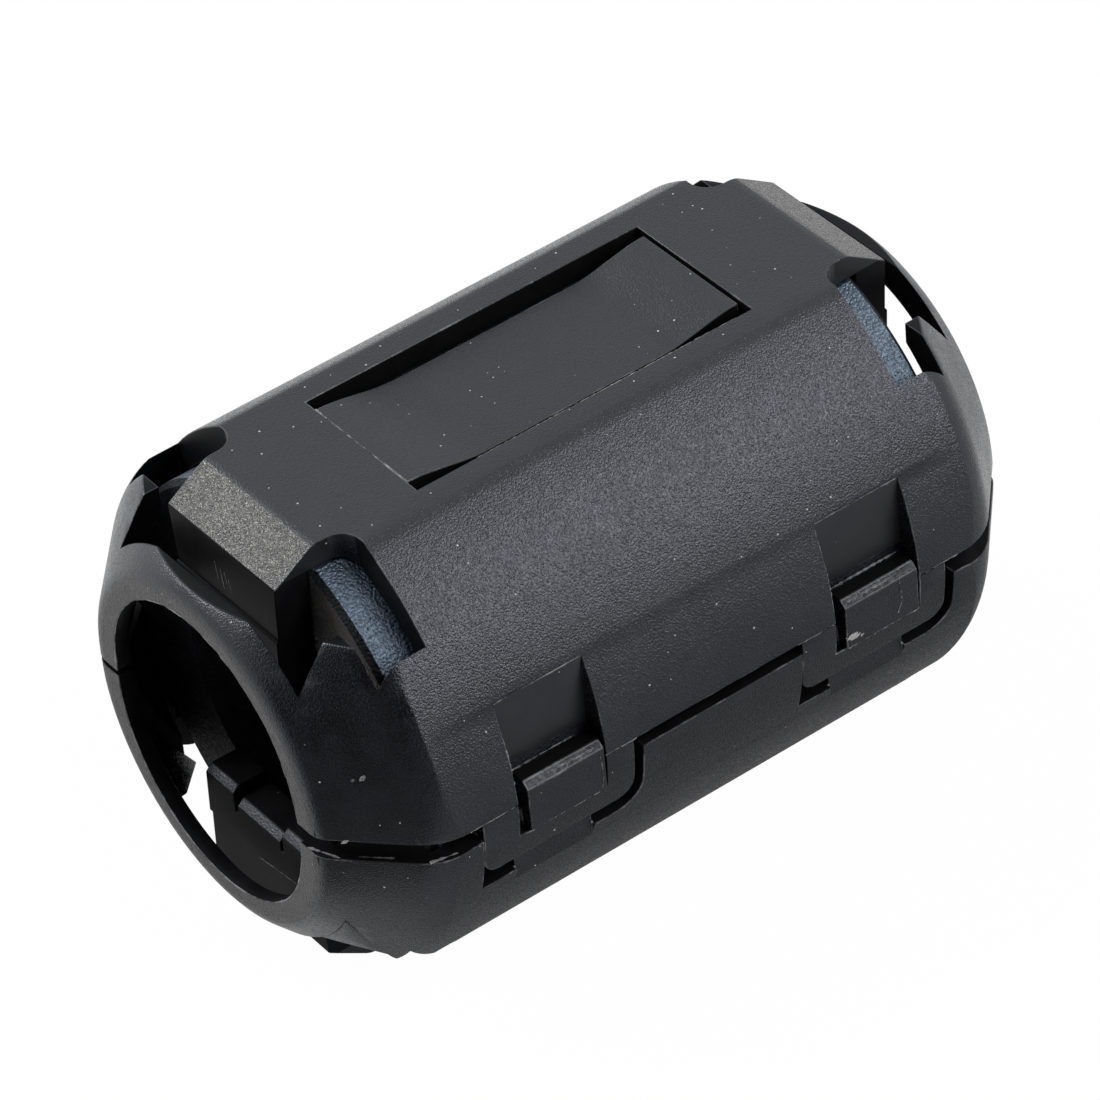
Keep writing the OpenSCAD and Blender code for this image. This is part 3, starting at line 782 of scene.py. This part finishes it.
def crumb(name, place, size, seed, body, finish):
    """A crumb of scraped plastic that clings to the case (mm)."""
    deselect()
    bpy.ops.mesh.primitive_ico_sphere_add(subdivisions=3, radius=0.5, location=(0, 0, 0))
    obj = bpy.context.object
    obj.name = name
    edit(obj)
    bpy.ops.mesh.select_all(action="SELECT")
    bpy.ops.transform.vertex_random(offset=0.13, seed=seed, normal=0.6)
    done_editing()
    obj.location = Vector(place) * MM
    obj.scale = Vector(size) * MM
    settle(obj)
    obj.data.materials.append(finish)
    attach(obj, body)
    return obj


CRUMB = rub_and_highlight_plastic("Crumb plastic", 1.0, (0.30, 0.30, 0.29))
crumb("hook_crumb", (6.95, -11.68, -0.75), (0.75, 0.12, 0.42), 5, "base", CRUMB)
crumb("hook_crumb_small", (7.35, -11.68, -0.95), (0.35, 0.1, 0.2), 6, "base", CRUMB)
crumb("cone_nick", (-16.10, -9.15, 3.6), (0.4, 0.16, 0.22), 7, "cover", FLASH_AND_HIGHLIGHT)
crumb("cone_nick_small", (-16.4, -8.85, 3.45), (0.25, 0.12, 0.14), 8, "cover", FLASH_AND_HIGHLIGHT)
crumb("rim_chip", (-17.0, -8.72, 0.47), (0.5, 0.2, 0.12), 9, "cover", FLASH_AND_HIGHLIGHT)
for end_name, x in (("near", -END_X + 0.03), ("far", END_X - 0.03)):
    sliver_ring(f"{end_name}_hole_flash_highlight_upper", x, 1, 0.055, 59, "cover", FLASH_AND_HIGHLIGHT)
    sliver_ring(f"{end_name}_hole_flash_highlight_lower", x, -1, 0.055, 61, "base", FLASH_AND_HIGHLIGHT)


# ---------------------------------------------------------------- studio

def look_matrix(back, roll, place):
    """Camera or lamp matrix that looks along -back, rolled about it."""
    right = Vector((0, 0, 1)).cross(back).normalized()
    up = back.cross(right)
    across = right * math.cos(roll) + up * math.sin(roll)
    upward = -right * math.sin(roll) + up * math.cos(roll)
    return Matrix(((across.x, upward.x, back.x, place.x),
                   (across.y, upward.y, back.y, place.y),
                   (across.z, upward.z, back.z, place.z),
                   (0, 0, 0, 1)))


def camera():
    """The camera, at the angle and distance set above."""
    azimuth, elevation, roll = (math.radians(a) for a in CAMERA_TURN)
    back = Vector((math.sin(azimuth) * math.cos(elevation), -math.cos(azimuth) * math.cos(elevation),
                   math.sin(elevation)))
    pose = look_matrix(back, roll, Vector((0, 0, 0)))
    place = pose @ Vector(CAMERA_PLACE) * MM
    data = bpy.data.cameras.new("camera")
    data.lens = LENS_MM
    data.sensor_width = SENSOR_MM
    data.clip_start = 0.01
    data.clip_end = 20
    obj = bpy.data.objects.new("camera", data)
    bpy.context.scene.collection.objects.link(obj)
    obj.matrix_world = look_matrix(back, roll, place)
    bpy.context.scene.camera = obj


def softbox(name, direction, distance, size, power):
    """A square soft lamp that faces the bead."""
    data = bpy.data.lights.new(name, "AREA")
    data.shape = "SQUARE"
    data.size = size
    data.energy = power
    obj = bpy.data.objects.new(name, data)
    bpy.context.scene.collection.objects.link(obj)
    back = Vector(direction).normalized()
    obj.matrix_world = look_matrix(back, 0.0, back * distance)


def studio_world():
    """Even dim light, white where it is seen or mirrored."""
    world = bpy.data.worlds.new("studio")
    bpy.context.scene.world = world
    world.use_nodes = True
    tree = world.node_tree
    back = tree.nodes["Background"]
    path = node(tree, "LightPath").outputs
    seen = maths(tree, "MAXIMUM", path["Is Camera Ray"],
                 maths(tree, "MAXIMUM", path["Is Glossy Ray"], path["Is Transmission Ray"]))
    tree.links.new(mix(tree, seen, (0.1, 0.1, 0.105), (1.0, 1.0, 1.0)), back.inputs[0])
    back.inputs[1].default_value = 1.0


def studio_floor():
    """A plain pale floor that keeps the shadow."""
    deselect()
    bpy.ops.mesh.primitive_plane_add(size=6, location=(0, 0, cad_box[0].z - 0.00002))
    floor = settle(bpy.context.object)
    floor.name = "floor"
    mat = bpy.data.materials.new("Pale floor")
    mat.use_nodes = True
    tree = mat.node_tree
    shader = tree.nodes["Principled BSDF"]
    shader.inputs["Base Color"].default_value = (0.8, 0.8, 0.8, 1)
    shader.inputs["Roughness"].default_value = 0.9
    shader.inputs["Specular IOR Level"].default_value = 0.1
    glow = node(tree, "Emission", {"Color": (1, 1, 1, 1), "Strength": 1.0})
    path = node(tree, "LightPath")
    mirrored = maths(tree, "ADD", path.outputs["Is Glossy Ray"], path.outputs["Is Transmission Ray"])
    share = maths(tree, "ADD", maths(tree, "MULTIPLY", path.outputs["Is Camera Ray"], 0.985),
                  maths(tree, "MULTIPLY", mirrored, 0.25))
    blend = node(tree, "MixShader", {0: share, 1: shader.outputs[0], 2: glow.outputs[0]})
    tree.links.new(blend.outputs[0], tree.nodes["Material Output"].inputs["Surface"])
    floor.data.materials.append(mat)


def dark_card(name, size, place, turn, tone):
    """A dark card at the front, which only the reflections show: painted shade in what the case mirrors."""
    deselect()
    bpy.ops.mesh.primitive_plane_add(size=size, location=place, rotation=[math.radians(t) for t in turn])
    card = settle(bpy.context.object)
    card.name = name
    mat = bpy.data.materials.new("Painted shade card")
    mat.use_nodes = True
    mat.node_tree.nodes["Principled BSDF"].inputs["Base Color"].default_value = (tone, tone, tone, 1)
    mat.node_tree.nodes["Principled BSDF"].inputs["Specular IOR Level"].default_value = 0.1
    card.data.materials.append(mat)
    card.visible_camera = False
    card.visible_shadow = False
    card.visible_diffuse = False


camera()
studio_floor()
# Cards of painted shade in the reflections: one standing at the front left, and two lying on the floor at the
# front, the right one greyer.
dark_card("standing_card", 0.7, (-0.24, -0.24, 0.30), (90, 0, -45), 0.01)
dark_card("lying_card_left", 0.7, (-0.371, -0.3555, cad_box[0].z + 0.0001), (0, 0, 0), 0.19)
dark_card("lying_card_right", 0.7, (0.33, -0.3555, cad_box[0].z + 0.0001), (0, 0, 0), 0.5)
studio_world()
softbox("rear left softbox", (-0.42, 0.62, 0.66), 0.6, 0.30, 3.6)
softbox("rear softbox", (0.45, 0.62, 0.64), 0.6, 0.45, 0.15)
softbox("front right softbox", (0.45, -0.66, 0.62), 0.6, 0.40, 3.3)
bpy.context.scene.view_settings.view_transform = "Standard"
